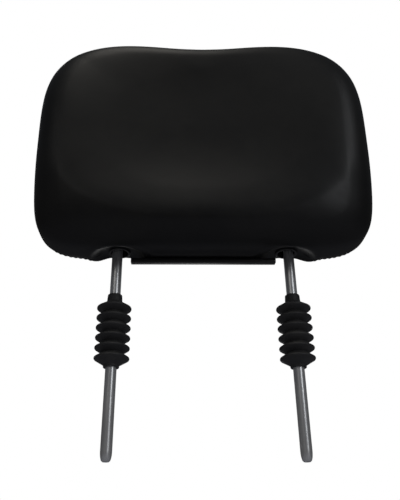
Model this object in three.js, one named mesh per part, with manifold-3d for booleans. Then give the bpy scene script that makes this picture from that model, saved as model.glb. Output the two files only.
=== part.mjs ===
// Car headrest on two steel posts, in millimetres: +Z up, the face towards -Y, the post tips at height 0.
import * as THREE from 'three';
import { mergeVertices } from 'three/addons/utils/BufferGeometryUtils.js';
import Module from 'manifold-3d';

// Posts: one bright steel rod bent into a U
const POST_DIAMETER = 10;
const POST_SPACING = 165;
const POST_EXPOSED = 193;
const POST_INSIDE = 144;
const KNEE_RISE = 12;
const KNEE_RADIUS = 60;
const TOP_BEND_RADIUS = 22;
const FRAME_LEAN = THREE.MathUtils.degToRad(7);
const TIP_LENGTH = 8.5;
const TIP_END_DIAMETER = 5.6;
const POST_SIDES = 20;
const CHANNEL_SIDES = 12;

// Cushion: a slab that leans forward, fuller at its foot than at its crown
const CUSHION_WIDTH = 327;
const CUSHION_HEIGHT = 232;
const WAIST_HEIGHT = 102;
const FOOT_HALF_DEPTH = 38.5;
const CROWN_HALF_DEPTH = 32;
const FOOT_BACK_Y = 22;
const CROWN_BACK_Y = -8;
const UPPER_CORNER_POWER = 4.15;
const LOWER_CORNER_POWER = 8.5;
const FOOT_TAPER = 0.035;
const EDGE_POWER = 4.4;
const CORNER_FALL = 18;
const DISH_DEPTH = 16;
const DISH_HALF_WIDTH = 152;
const DISH_HEIGHT = 125;
const DISH_BELOW = 107;
const DISH_ABOVE = 140;
const DISH_POWER = 2.5;
const DISH_SOFTNESS = 1.2;
const SADDLE_DEPTH = 11;
const SADDLE_HALF_WIDTH = 70;
const OUTLINE_SEGMENTS = 48;
const FACE_STEPS = 5;
const SIDE_STEPS = 6;
const BACK_STEPS = 3;

// Dimples in the underside round the posts
const DIMPLE_DEPTH = 8;
const DIMPLE_SEAT_RADIUS = 12;
const DIMPLE_RIM_RADIUS = 29;
const DIMPLE_SIDES = 20;

// Cover: a front skin and a back panel, closed under the cushion by two hooked rails
const COVER_THICKNESS = 2.2;
const SEAM_FOOT_Y = 1;
const SEAM_CROWN_Y = -31;
const RAIL_REACH = 7;
const RAIL_DEPTH = 4.2;
const RAIL_WALL = 1;
const RAIL_END_GAP = 1;

// Rings where the posts leave the cover, and the washers that clench them
const RING_OFFSET = 2;
const RING_BORE_RADIUS = 8.3;
const RING_WALL = 0.8;
const RING_FLANGE_WIDTH = 1.4;
const RING_FLANGE_THICKNESS = 1;
const WASHER_WIDTH = 2.6;
const WASHER_THICKNESS = 1;
const RING_SIDES = 24;
const HOLE_DEPTH = 12;

// Support plate pressed round the posts, with straps and rivets
const PLATE_THICKNESS = 1.2;
const PLATE_MARGIN = 4.4;
const PLATE_FOOT = 16;
const PLATE_HEIGHT = 92;
const PLATE_CORNER = 14;
const PLATE_LIP = 5;
const PLATE_HOLE_DIAMETER = 26;
const PLATE_HOLE_PITCH = 46;
const RIB_HALF_WIDTH = 7;
const RIB_DEPTH = 3.5;
const STRAP_THICKNESS = 1.5;
const STRAP_WIDTH = 18;
const STRAP_EAR = 11;
const STRAP_ROOT = 0.8;
const LOWER_STRAP_MARGIN = 16;
const UPPER_STRAP_MARGIN = 20;
const RIVET_DIAMETER = 4;
const RIVET_HEAD_DIAMETER = 7.2;
const RIVET_CROWN_DIAMETER = 4.4;
const RIVET_HEAD_HEIGHT = 1.5;
const RIVET_SIDES = 10;

// Bellows: thin rubber boots that grip the posts
const BELLOWS_FOOT = 78.8;
const CONVOLUTIONS = 6;
const CONVOLUTION_PITCH = 9.5;
const RIM_RADIUS = 15.8;
const ROOT_RADIUS = 9.6;
const RIM_FLAT = 1.2;
const BELLOWS_WALL = 1.3;
const FOOT_COLLAR_LENGTH = 3.4;
const HEAD_COLLAR_LENGTH = 8.6;
const COLLAR_WALL = 1.8;
const COLLAR_TAPER = 0.5;
const BORE_GAP = 0.35;

// Gap between pieces that touch on the real object
const FIT_GAP = 0.3;
const MERGE_DISTANCE = 1e-4;

const POST_RADIUS = POST_DIAMETER / 2;
const CUSHION_FOOT = POST_EXPOSED - DIMPLE_DEPTH;
const HALF_WIDTH = CUSHION_WIDTH / 2;
const FOOT_MIDDLE_Y = FOOT_BACK_Y - FOOT_HALF_DEPTH;
const CROWN_MIDDLE_Y = CROWN_BACK_Y - CROWN_HALF_DEPTH;
const RING_X = POST_SPACING / 2 - RING_OFFSET;
const RING_OUTER_RADIUS = RING_BORE_RADIUS + RING_WALL;
const WASHER_RADIUS = RING_OUTER_RADIUS + FIT_GAP + WASHER_WIDTH;
const SEAT_RADIUS = WASHER_RADIUS + FIT_GAP + COVER_THICKNESS;
const KNEE_HEIGHT = POST_EXPOSED + KNEE_RISE;
const STRAP_REACH = POST_RADIUS + FIT_GAP + STRAP_ROOT + STRAP_EAR;
const PLATE_HALF_WIDTH = POST_SPACING / 2 + STRAP_REACH + PLATE_MARGIN;
const STRAP_HEIGHTS = [PLATE_FOOT + LOWER_STRAP_MARGIN, PLATE_FOOT + PLATE_HEIGHT - UPPER_STRAP_MARGIN];

const MATERIALS = {
  steel: new THREE.MeshStandardMaterial({ color: 0xb9bcbd, roughness: 0.28, metalness: 1 }),
  plate: new THREE.MeshStandardMaterial({ color: 0x55585a, roughness: 0.55, metalness: 0.8 }),
  foam: new THREE.MeshStandardMaterial({ color: 0x3a3a38, roughness: 0.95, metalness: 0 }),
  vinyl: new THREE.MeshStandardMaterial({ color: 0x0d0d0e, roughness: 0.5, metalness: 0 }),
  rubber: new THREE.MeshStandardMaterial({ color: 0x0b0b0b, roughness: 0.62, metalness: 0 }),
  plastic: new THREE.MeshStandardMaterial({ color: 0x111112, roughness: 0.35, metalness: 0 })
};

const wasm = await Module();
wasm.setup();

const headrest = new THREE.Group();

function addPiece(name, geometry, material, parent = headrest) {
  const mesh = new THREE.Mesh(geometry, material);
  mesh.name = name;
  parent.add(mesh);
  return mesh;
}

// Solids for cutting and joining

function toSolid(geometry) {
  const bare = geometry.clone();
  bare.deleteAttribute('normal');
  bare.deleteAttribute('uv');
  const merged = mergeVertices(bare, MERGE_DISTANCE);
  const corners = merged.index.array;
  const kept = [];
  for (let i = 0; i < corners.length; i += 3) {
    const [a, b, c] = corners.slice(i, i + 3);
    if (a !== b && b !== c && c !== a) kept.push(a, b, c);
  }
  return new wasm.Manifold(new wasm.Mesh({
    numProp: 3,
    vertProperties: new Float32Array(merged.attributes.position.array),
    triVerts: new Uint32Array(kept)
  }));
}

function toGeometry(solid) {
  const mesh = solid.getMesh();
  const geometry = new THREE.BufferGeometry();
  geometry.setAttribute('position', new THREE.BufferAttribute(mesh.vertProperties, 3));
  geometry.setIndex(new THREE.BufferAttribute(mesh.triVerts, 1));
  geometry.computeVertexNormals();
  return geometry;
}

function mapVertices(geometry, shape) {
  const position = geometry.attributes.position;
  const vertex = new THREE.Vector3();
  for (let i = 0; i < position.count; i += 1) {
    shape(vertex.fromBufferAttribute(position, i));
    position.setXYZ(i, vertex.x, vertex.y, vertex.z);
  }
  return geometry;
}

// A ring or disc turned about the vertical: each pair of numbers is a radius and a height
function turned(profile, sides) {
  const points = profile.map(([radius, height]) => new THREE.Vector2(radius, height));
  return new THREE.LatheGeometry(points, sides).rotateX(Math.PI / 2);
}

// Posts

function roundedPath(corners) {
  const path = [corners[0].at];
  for (let i = 1; i < corners.length - 1; i += 1) {
    const { at, radius, steps } = corners[i];
    const before = corners[i - 1].at.clone().sub(at).normalize();
    const after = corners[i + 1].at.clone().sub(at).normalize();
    const turn = Math.PI - before.angleTo(after);
    const centre = before.clone().add(after).normalize().multiplyScalar(radius / Math.cos(turn / 2)).add(at);
    const spoke = at.clone().addScaledVector(before, radius * Math.tan(turn / 2)).sub(centre);
    const axis = new THREE.Vector3().crossVectors(after, before).normalize();
    for (let k = 0; k <= steps; k += 1) {
      path.push(spoke.clone().applyAxisAngle(axis, turn * k / steps).add(centre));
    }
  }
  path.push(corners.at(-1).at);
  return path;
}

function postPath() {
  const x = POST_SPACING / 2;
  const topY = -Math.sin(FRAME_LEAN) * (POST_INSIDE - KNEE_RISE);
  const topZ = KNEE_HEIGHT + Math.cos(FRAME_LEAN) * (POST_INSIDE - KNEE_RISE);
  const leg = (side) => [
    { at: new THREE.Vector3(side * x, 0, TIP_LENGTH) },
    { at: new THREE.Vector3(side * x, 0, KNEE_HEIGHT), radius: KNEE_RADIUS, steps: 2 },
    { at: new THREE.Vector3(side * x, topY, topZ), radius: TOP_BEND_RADIUS, steps: 6 }
  ];
  return roundedPath([...leg(-1), ...leg(1).reverse()]);
}

// Round rod through the points of a path, with a bullet-shaped tip added at each end
function bentRod(path, radius, tipEndRadius, sides) {
  const tipSteps = 3;
  const tip = (end) => Array.from({ length: tipSteps }, (_, k) => {
    const part = k / tipSteps;
    const swell = Math.sqrt(1 - (1 - part) ** 2);
    return {
      point: end.clone().setZ(TIP_LENGTH * part),
      radius: THREE.MathUtils.lerp(tipEndRadius, radius, swell)
    };
  });
  const stations = [
    ...tip(path[0]),
    ...path.map((point) => ({ point, radius })),
    ...tip(path.at(-1)).reverse()
  ];
  const last = stations.length - 1;
  let across = new THREE.Vector3(1, 0, 0);
  stations.forEach((station, i) => {
    const travel = stations[Math.min(i + 1, last)].point.clone().sub(stations[Math.max(i - 1, 0)].point);
    travel.normalize();
    across = across.clone().addScaledVector(travel, -across.dot(travel)).normalize();
    station.across = across;
    station.out = new THREE.Vector3().crossVectors(travel, across);
  });
  const rod = new THREE.CylinderGeometry(1, 1, 1, sides, last);
  return mapVertices(rod, (vertex) => {
    const station = stations[Math.round((0.5 - vertex.y) * last)];
    const { x, z } = vertex;
    vertex.copy(station.point);
    vertex.addScaledVector(station.across, x * station.radius);
    vertex.addScaledVector(station.out, z * station.radius);
  });
}

// Cushion form

// Turns a vertex of a unit drum into a point of the cushion, inset below its surface. The drum's radius runs
// from the middle of the face to the outline, and its height from the face, at -1, to the back, at 1.
function cushionPoint(vertex, inset) {
  const ring = Math.hypot(vertex.x, vertex.z);
  const side = vertex.y;
  const angle = Math.atan2(vertex.x, vertex.z);
  const upper = Math.cos(angle) > 0;
  const power = upper ? UPPER_CORNER_POWER : LOWER_CORNER_POWER;
  const reach = (Math.abs(Math.sin(angle)) ** power + Math.abs(Math.cos(angle)) ** power) ** (-1 / power);
  const halfHeight = (upper ? CUSHION_HEIGHT - WAIST_HEIGHT : WAIST_HEIGHT) - inset;
  const height = WAIST_HEIGHT + halfHeight * reach * ring * Math.cos(angle);
  const taper = 1 - FOOT_TAPER * Math.max(0, 1 - height / WAIST_HEIGHT) ** 2;
  const x = (HALF_WIDTH - inset) * taper * reach * ring * Math.sin(angle);
  const rise = THREE.MathUtils.clamp(height / CUSHION_HEIGHT, 0, 1);
  const halfDepth = THREE.MathUtils.lerp(FOOT_HALF_DEPTH, CROWN_HALF_DEPTH, rise) - inset;
  const middle = THREE.MathUtils.lerp(FOOT_MIDDLE_Y, CROWN_MIDDLE_Y, rise);
  const saddle = SADDLE_DEPTH * rise ** 3 * Math.exp(-((x / SADDLE_HALF_WIDTH) ** 2));
  const dish = DISH_DEPTH * dishWeight(x, height);
  const fall = CORNER_FALL * (x / HALF_WIDTH) ** 2 * ((height - WAIST_HEIGHT) / halfHeight) ** 2;
  const y = middle + halfDepth * side + (dish + fall) * Math.max(0, -side);
  vertex.set(x, y, CUSHION_FOOT + height - saddle);
}

// How deep the hollow of the face is at a place: 1 at its middle, 0 on the raised lip round it
function dishWeight(x, height) {
  const up = height - DISH_HEIGHT;
  const across = Math.abs(x / DISH_HALF_WIDTH) ** DISH_POWER;
  const along = Math.abs(up / (up > 0 ? DISH_ABOVE : DISH_BELOW)) ** DISH_POWER;
  return Math.max(0, 1 - across - along) ** DISH_SOFTNESS;
}

// The drum's rounded edge: a walk round half a square, drawn in to a rounder curve
function drumProfile() {
  const ease = (part) => Math.sin(part * Math.PI / 2);
  const walk = [];
  for (let k = 0; k < FACE_STEPS; k += 1) walk.push([ease(k / FACE_STEPS), -1]);
  for (let k = 0; k < SIDE_STEPS; k += 1) walk.push([1, ease(2 * k / SIDE_STEPS - 1)]);
  for (let k = BACK_STEPS; k >= 0; k -= 1) walk.push([ease(k / BACK_STEPS), 1]);
  return walk.map(([ring, side]) => {
    const scale = (ring ** EDGE_POWER + Math.abs(side) ** EDGE_POWER) ** (-1 / EDGE_POWER);
    return new THREE.Vector2(ring * scale, side * scale);
  });
}

function dimpleSolid(inset) {
  const slope = (DIMPLE_RIM_RADIUS - DIMPLE_SEAT_RADIUS) / DIMPLE_DEPTH;
  const mouth = DIMPLE_RIM_RADIUS + inset + slope * DIMPLE_DEPTH;
  return toSolid(turned([
    [0, -DIMPLE_DEPTH],
    [mouth, -DIMPLE_DEPTH],
    [DIMPLE_SEAT_RADIUS + inset, DIMPLE_DEPTH + inset],
    [0, DIMPLE_DEPTH + inset]
  ], DIMPLE_SIDES));
}

function atRing(solid, side, height) {
  return solid.translate([side * RING_X, 0, height]);
}

// The cushion's outside, or its inside at an inset, drawn in to a flat seat for each ring
function cushionSolid(inset) {
  const drum = new THREE.LatheGeometry(drumProfile(), OUTLINE_SEGMENTS);
  const seat = toSolid(pin(SEAT_RADIUS - inset, inset, HOLE_DEPTH));
  let solid = toSolid(mapVertices(drum, (vertex) => cushionPoint(vertex, inset)));
  for (const side of [-1, 1]) {
    solid = solid.add(atRing(seat, side, POST_EXPOSED));
    solid = solid.subtract(atRing(dimpleSolid(inset), side, CUSHION_FOOT));
  }
  return solid;
}

// Space behind the seam, which runs from the closing line under the cushion up to the crown
function behindSeam(offset) {
  const size = 4 * CUSHION_WIDTH;
  const tilt = Math.atan2(SEAM_FOOT_Y - SEAM_CROWN_Y, CUSHION_HEIGHT);
  const block = new THREE.BoxGeometry(size, size, size).translate(0, size / 2 + offset, 0);
  return toSolid(block.rotateX(tilt).translate(0, SEAM_FOOT_Y, CUSHION_FOOT));
}

function pin(radius, from, to, sides = RING_SIDES) {
  return turned([[0, from], [radius, from], [radius, to], [0, to]], sides);
}

function addCovers() {
  let skin = cushionSolid(0).subtract(cushionSolid(COVER_THICKNESS));
  for (const side of [-1, 1]) {
    const hole = toSolid(pin(RING_OUTER_RADIUS + FIT_GAP, -HOLE_DEPTH, HOLE_DEPTH));
    skin = skin.subtract(atRing(hole, side, POST_EXPOSED));
  }
  addPiece('cover_front', toGeometry(skin.subtract(behindSeam(-FIT_GAP / 2))), MATERIALS.vinyl);
  addPiece('cover_back', toGeometry(skin.intersect(behindSeam(FIT_GAP / 2))), MATERIALS.vinyl);
}

// Foam core with the hollow that the frame lies in

function addFoam() {
  const inset = COVER_THICKNESS + FIT_GAP;
  const washerTop = POST_EXPOSED + COVER_THICKNESS + 2 * FIT_GAP + WASHER_THICKNESS + FIT_GAP;
  const channelRadius = (POST_RADIUS + FIT_GAP) / Math.cos(Math.PI / CHANNEL_SIDES);
  let foam = cushionSolid(inset);
  foam = foam.subtract(toSolid(bentRod(postPath(), channelRadius, channelRadius, CHANNEL_SIDES)));
  for (const side of [-1, 1]) {
    const washerSeat = toSolid(pin(WASHER_RADIUS + FIT_GAP, -HOLE_DEPTH, 0));
    const mouth = toSolid(pin(RING_OUTER_RADIUS + FIT_GAP, -HOLE_DEPTH, HOLE_DEPTH));
    foam = foam.subtract(atRing(washerSeat, side, washerTop)).subtract(atRing(mouth, side, POST_EXPOSED));
  }
  const front = POST_RADIUS + 2 * FIT_GAP + Math.max(PLATE_THICKNESS, RIB_DEPTH - POST_RADIUS);
  const back = POST_RADIUS + 2 * FIT_GAP + STRAP_THICKNESS;
  const pocket = new THREE.BoxGeometry(
    2 * (PLATE_HALF_WIDTH + FIT_GAP),
    front + back,
    PLATE_HEIGHT + 2 * FIT_GAP
  );
  pocket.translate(0, (back - front) / 2, PLATE_FOOT + PLATE_HEIGHT / 2);
  pocket.rotateX(FRAME_LEAN).translate(0, 0, KNEE_HEIGHT);
  addPiece('foam_core', toGeometry(foam.subtract(toSolid(pocket))), MATERIALS.foam);
}

// Closing rails under the cushion, hooked into each other between the rings

// How far the underside lies above the cushion's foot at a place between front and back
function undersideRise(y) {
  const side = Math.abs(y - FOOT_MIDDLE_Y) / FOOT_HALF_DEPTH;
  return WAIST_HEIGHT * (1 - (1 - side ** EDGE_POWER) ** (1 / EDGE_POWER));
}

function addRails() {
  const length = 2 * (RING_X - RING_OUTER_RADIUS - RING_FLANGE_WIDTH - RAIL_END_GAP);
  const foot = -RAIL_DEPTH;
  const lipGap = FIT_GAP / 2;
  const fall = undersideRise(SEAM_FOOT_Y + lipGap) - undersideRise(SEAM_FOOT_Y - lipGap);
  const tilt = Math.atan2(fall, 2 * lipGap);
  const frontSection = [
    [-RAIL_REACH, 0], [-RAIL_REACH, foot],
    [lipGap + RAIL_WALL, foot], [lipGap + RAIL_WALL, -RAIL_WALL - FIT_GAP],
    [lipGap, -RAIL_WALL - FIT_GAP], [lipGap, foot + RAIL_WALL],
    [RAIL_WALL - RAIL_REACH, foot + RAIL_WALL], [RAIL_WALL - RAIL_REACH, 0]
  ];
  const backSection = [
    [RAIL_REACH, 0], [-lipGap - RAIL_WALL, 0], [-lipGap - RAIL_WALL, foot + RAIL_WALL + FIT_GAP],
    [-lipGap, foot + RAIL_WALL + FIT_GAP], [-lipGap, -RAIL_WALL], [RAIL_REACH, -RAIL_WALL]
  ];
  for (const [name, section] of [['closing_rail_front', frontSection], ['closing_rail_back', backSection]]) {
    const shape = new THREE.Shape(section.map(([y, z]) => new THREE.Vector2(y, z)));
    const rail = prism(shape, length);
    rail.rotateX(Math.PI / 2).rotateZ(Math.PI / 2).rotateX(tilt);
    rail.translate(-length / 2, SEAM_FOOT_Y, CUSHION_FOOT + undersideRise(SEAM_FOOT_Y) - FIT_GAP);
    addPiece(name, rail, MATERIALS.plastic);
  }
}

// Rings and washers

function addRings() {
  const flangeRadius = RING_OUTER_RADIUS + RING_FLANGE_WIDTH;
  const top = COVER_THICKNESS + 2 * FIT_GAP + WASHER_THICKNESS;
  const foot = -FIT_GAP - RING_FLANGE_THICKNESS;
  const ring = [
    [RING_BORE_RADIUS, foot], [flangeRadius - RING_FLANGE_THICKNESS / 2, foot],
    [flangeRadius, foot + RING_FLANGE_THICKNESS / 2], [flangeRadius, -FIT_GAP], [RING_OUTER_RADIUS, -FIT_GAP],
    [RING_OUTER_RADIUS, top], [RING_BORE_RADIUS, top], [RING_BORE_RADIUS, foot]
  ];
  const washerBore = RING_OUTER_RADIUS + FIT_GAP;
  const washerFoot = COVER_THICKNESS + FIT_GAP;
  const washer = [
    [washerBore, washerFoot], [WASHER_RADIUS, washerFoot],
    [WASHER_RADIUS, washerFoot + WASHER_THICKNESS], [washerBore, washerFoot + WASHER_THICKNESS],
    [washerBore, washerFoot]
  ];
  for (const [name, side] of [['left', -1], ['right', 1]]) {
    const ringMesh = addPiece(`post_ring_${name}`, turned(ring, RING_SIDES), MATERIALS.plastic);
    const washerMesh = addPiece(`ring_washer_${name}`, turned(washer, RING_SIDES), MATERIALS.plate);
    for (const mesh of [ringMesh, washerMesh]) mesh.position.set(side * RING_X, 0, POST_EXPOSED);
  }
}

// Support plate, straps and rivets, in a group that leans with the posts

// Section across the plate: flat, with a half-round trough for each post and two shallow ribs between them
function plateSection() {
  const x = POST_SPACING / 2;
  const inner = POST_RADIUS + FIT_GAP;
  const outer = inner + PLATE_THICKNESS;
  const dip = Math.asin(PLATE_THICKNESS / outer);
  const shape = new THREE.Shape();
  const ribs = [-PLATE_HOLE_PITCH / 2, PLATE_HOLE_PITCH / 2];
  shape.moveTo(-PLATE_HALF_WIDTH, PLATE_LIP);
  shape.lineTo(-PLATE_HALF_WIDTH, -PLATE_THICKNESS);
  shape.absarc(-x, 0, outer, Math.PI + dip, -dip);
  for (const rib of ribs) {
    shape.lineTo(rib - RIB_HALF_WIDTH, -PLATE_THICKNESS);
    shape.lineTo(rib - RIB_HALF_WIDTH / 2, -PLATE_THICKNESS - RIB_DEPTH);
    shape.lineTo(rib + RIB_HALF_WIDTH / 2, -PLATE_THICKNESS - RIB_DEPTH);
    shape.lineTo(rib + RIB_HALF_WIDTH, -PLATE_THICKNESS);
  }
  shape.absarc(x, 0, outer, Math.PI + dip, -dip);
  shape.lineTo(PLATE_HALF_WIDTH, -PLATE_THICKNESS);
  shape.lineTo(PLATE_HALF_WIDTH, PLATE_LIP);
  shape.lineTo(PLATE_HALF_WIDTH - PLATE_THICKNESS, PLATE_LIP);
  shape.lineTo(PLATE_HALF_WIDTH - PLATE_THICKNESS, 0);
  shape.absarc(x, 0, inner, 0, Math.PI, true);
  for (const rib of ribs.toReversed()) {
    shape.lineTo(rib + RIB_HALF_WIDTH - PLATE_THICKNESS / 2, 0);
    shape.lineTo(rib + RIB_HALF_WIDTH / 2 - PLATE_THICKNESS / 2, -RIB_DEPTH);
    shape.lineTo(rib - RIB_HALF_WIDTH / 2 + PLATE_THICKNESS / 2, -RIB_DEPTH);
    shape.lineTo(rib - RIB_HALF_WIDTH + PLATE_THICKNESS / 2, 0);
  }
  shape.absarc(-x, 0, inner, 0, Math.PI, true);
  shape.lineTo(PLATE_THICKNESS - PLATE_HALF_WIDTH, 0);
  shape.lineTo(PLATE_THICKNESS - PLATE_HALF_WIDTH, PLATE_LIP);
  return shape;
}

function rivetPlaces() {
  const fromPost = STRAP_REACH - STRAP_EAR / 2;
  const places = [];
  for (const side of [-1, 1]) {
    for (const height of STRAP_HEIGHTS) {
      for (const ear of [-1, 1]) {
        places.push({ height, x: side * POST_SPACING / 2 + ear * fromPost });
      }
    }
  }
  return places;
}

// Upright outline of the plate, with its lightening holes and rivet holes
function plateOutline() {
  const w = PLATE_HALF_WIDTH + FIT_GAP;
  const top = PLATE_FOOT + PLATE_HEIGHT;
  const r = PLATE_CORNER;
  const shape = new THREE.Shape();
  shape.moveTo(r - w, PLATE_FOOT);
  shape.lineTo(w - r, PLATE_FOOT);
  shape.absarc(w - r, PLATE_FOOT + r, r, -Math.PI / 2, 0);
  shape.absarc(w - r, top - r, r, 0, Math.PI / 2);
  shape.absarc(r - w, top - r, r, Math.PI / 2, Math.PI);
  shape.absarc(r - w, PLATE_FOOT + r, r, Math.PI, 3 * Math.PI / 2);
  const hole = (x, z, diameter) => new THREE.Path().absarc(x, z, diameter / 2, 0, 2 * Math.PI);
  for (const column of [-1, 0, 1]) {
    shape.holes.push(hole(column * PLATE_HOLE_PITCH, PLATE_FOOT + PLATE_HEIGHT / 2, PLATE_HOLE_DIAMETER));
  }
  for (const { x, height } of rivetPlaces()) {
    shape.holes.push(hole(x, height, RIVET_DIAMETER + 2 * FIT_GAP));
  }
  return shape;
}

function prism(shape, depth) {
  return new THREE.ExtrudeGeometry(shape, { depth, bevelEnabled: false, curveSegments: 5 });
}

function strapSection() {
  const inner = POST_RADIUS + FIT_GAP;
  const outer = inner + STRAP_THICKNESS;
  const foot = FIT_GAP;
  const shape = new THREE.Shape();
  const innerAngle = Math.asin(foot / inner);
  const outerAngle = Math.asin((foot + STRAP_THICKNESS) / outer);
  shape.moveTo(-STRAP_REACH, foot);
  shape.lineTo(-STRAP_REACH, foot + STRAP_THICKNESS);
  shape.absarc(0, 0, outer, Math.PI - outerAngle, outerAngle, true);
  shape.lineTo(STRAP_REACH, foot + STRAP_THICKNESS);
  shape.lineTo(STRAP_REACH, foot);
  shape.absarc(0, 0, inner, innerAngle, Math.PI - innerAngle);
  return shape;
}

function addSupport() {
  const support = new THREE.Group();
  support.position.z = KNEE_HEIGHT;
  support.rotation.x = FRAME_LEAN;
  headrest.add(support);

  const section = prism(plateSection(), PLATE_HEIGHT);
  section.translate(0, 0, PLATE_FOOT);
  const cutterDepth = 6 * POST_DIAMETER;
  const cutter = prism(plateOutline(), cutterDepth).rotateX(Math.PI / 2).translate(0, cutterDepth / 2, 0);
  const plate = toSolid(section).intersect(toSolid(cutter));
  addPiece('support_plate', toGeometry(plate), MATERIALS.plate, support);

  const rivetHole = toSolid(
    pin(RIVET_DIAMETER / 2 + FIT_GAP, -POST_DIAMETER, POST_DIAMETER, RIVET_SIDES).rotateX(-Math.PI / 2)
  );
  for (const [name, side] of [['left', -1], ['right', 1]]) {
    for (const [level, height] of [['lower', STRAP_HEIGHTS[0]], ['upper', STRAP_HEIGHTS[1]]]) {
      const strap = prism(strapSection(), STRAP_WIDTH);
      strap.translate(side * POST_SPACING / 2, 0, height - STRAP_WIDTH / 2);
      let solid = toSolid(strap);
      for (const place of rivetPlaces()) {
        solid = solid.subtract(rivetHole.translate([place.x, 0, place.height]));
      }
      addPiece(`post_strap_${name}_${level}`, toGeometry(solid), MATERIALS.plate, support);
    }
  }

  const front = -PLATE_THICKNESS - FIT_GAP;
  const back = FIT_GAP + STRAP_THICKNESS + FIT_GAP;
  const headRadius = RIVET_HEAD_DIAMETER / 2;
  const crownRadius = RIVET_CROWN_DIAMETER / 2;
  const rivetProfile = [
    [0, front - RIVET_HEAD_HEIGHT], [crownRadius, front - RIVET_HEAD_HEIGHT], [headRadius, front],
    [RIVET_DIAMETER / 2, front], [RIVET_DIAMETER / 2, back], [headRadius, back],
    [crownRadius, back + RIVET_HEAD_HEIGHT], [0, back + RIVET_HEAD_HEIGHT]
  ];
  rivetPlaces().forEach((place, i) => {
    const shank = turned(rivetProfile, RIVET_SIDES).rotateX(-Math.PI / 2);
    const mesh = addPiece(`rivet_${i + 1}`, shank, MATERIALS.steel, support);
    mesh.position.set(place.x, 0, place.height);
  });
}

// Bellows

function bellowsProfile() {
  const bore = POST_RADIUS + BORE_GAP;
  const collar = bore + COLLAR_WALL;
  const innerRoot = ROOT_RADIUS - BELLOWS_WALL;
  const firstRim = FOOT_COLLAR_LENGTH + CONVOLUTION_PITCH / 2;
  const outer = [[collar, 0], [collar, FOOT_COLLAR_LENGTH - BELLOWS_WALL]];
  const inner = [[bore, 0], [bore, FOOT_COLLAR_LENGTH]];
  for (let k = 0; k < CONVOLUTIONS; k += 1) {
    const rim = firstRim + k * CONVOLUTION_PITCH;
    outer.push([RIM_RADIUS, rim - RIM_FLAT / 2], [RIM_RADIUS, rim + RIM_FLAT / 2]);
    inner.push([RIM_RADIUS - BELLOWS_WALL, rim]);
    if (k < CONVOLUTIONS - 1) {
      outer.push([ROOT_RADIUS, rim + CONVOLUTION_PITCH / 2]);
      inner.push([innerRoot, rim + CONVOLUTION_PITCH / 2]);
    }
  }
  const neck = FOOT_COLLAR_LENGTH + CONVOLUTIONS * CONVOLUTION_PITCH;
  const top = neck + HEAD_COLLAR_LENGTH;
  outer.push([collar, neck + BELLOWS_WALL], [collar - COLLAR_TAPER, top]);
  inner.push([bore, neck], [bore, top]);
  return [...outer, ...inner.reverse(), outer[0]];
}

function addBellows() {
  for (const [name, side] of [['left', -1], ['right', 1]]) {
    const mesh = addPiece(`bellows_${name}`, turned(bellowsProfile(), POST_SIDES), MATERIALS.rubber);
    mesh.position.set(side * POST_SPACING / 2, 0, BELLOWS_FOOT);
  }
}

addPiece('post_frame', bentRod(postPath(), POST_RADIUS, TIP_END_DIAMETER / 2, POST_SIDES), MATERIALS.steel);
addSupport();
addFoam();
addCovers();
addRails();
addRings();
addBellows();

export default headrest;
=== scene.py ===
# %% [markdown]
# # Dressing a car headrest
# The object is a car headrest: a padded cushion in black vinyl, two bright steel posts that go down into
# the seat, and a ribbed rubber boot round each post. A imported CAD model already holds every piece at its
# real size. This script keeps that model as a fixed frame and gives it its looks: it builds finer meshes
# where the eye is fussy, and paints every surface with nodes. We work in metres, because Blender does,
# and name sizes in millimetres, because a maker of headrests would.

# %% Load the frame
import math

import bmesh
import bpy
from mathutils import Matrix, Vector
from mathutils.bvhtree import BVHTree


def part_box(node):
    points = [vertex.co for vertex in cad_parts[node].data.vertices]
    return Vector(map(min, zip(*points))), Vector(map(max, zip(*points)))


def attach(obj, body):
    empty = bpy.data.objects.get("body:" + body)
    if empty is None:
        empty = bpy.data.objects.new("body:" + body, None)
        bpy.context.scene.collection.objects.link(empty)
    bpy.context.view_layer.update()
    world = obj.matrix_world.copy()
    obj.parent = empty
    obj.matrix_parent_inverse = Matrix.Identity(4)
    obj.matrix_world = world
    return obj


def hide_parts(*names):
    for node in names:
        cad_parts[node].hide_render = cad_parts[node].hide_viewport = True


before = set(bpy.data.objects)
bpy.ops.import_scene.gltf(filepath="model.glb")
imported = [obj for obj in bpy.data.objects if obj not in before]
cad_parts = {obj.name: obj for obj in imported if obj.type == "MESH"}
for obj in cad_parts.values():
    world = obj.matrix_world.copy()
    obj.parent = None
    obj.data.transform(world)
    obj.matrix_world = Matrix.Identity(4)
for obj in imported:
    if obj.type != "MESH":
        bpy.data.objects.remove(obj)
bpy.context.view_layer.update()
MM = 0.001

# %% [markdown]
# ## The camera
# The photographer crouched: the camera is lower than the tips of the posts and looks up at the underside
# of the cushion. A focal length of 43.2 mm over a 36 mm high sensor spreads 500 pixels over the frame's
# height. The small sideways shift puts the picture's middle where the photograph was cropped.

# %% Camera
SENSOR_HEIGHT = 36.0
FOCAL_LENGTH = 43.2
CAMERA_PLACE = Vector((-21.3, -514.0, -76.6)) * MM
CAMERA_AZIMUTH = math.radians(0.47)
CAMERA_ELEVATION = math.radians(27.94)
CAMERA_ROLL = math.radians(0.09)
CAMERA_SHIFT = 0.0294


def camera_turn(azimuth, elevation, roll):
    """The camera's rotation: azimuth 0 looks along +Y, and a roll turns the picture clockwise."""
    level = Matrix.Rotation(-azimuth, 4, "Z")
    raised = Matrix.Rotation(math.pi / 2 + elevation, 4, "X")
    return level @ raised @ Matrix.Rotation(-roll, 4, "Z")


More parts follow.
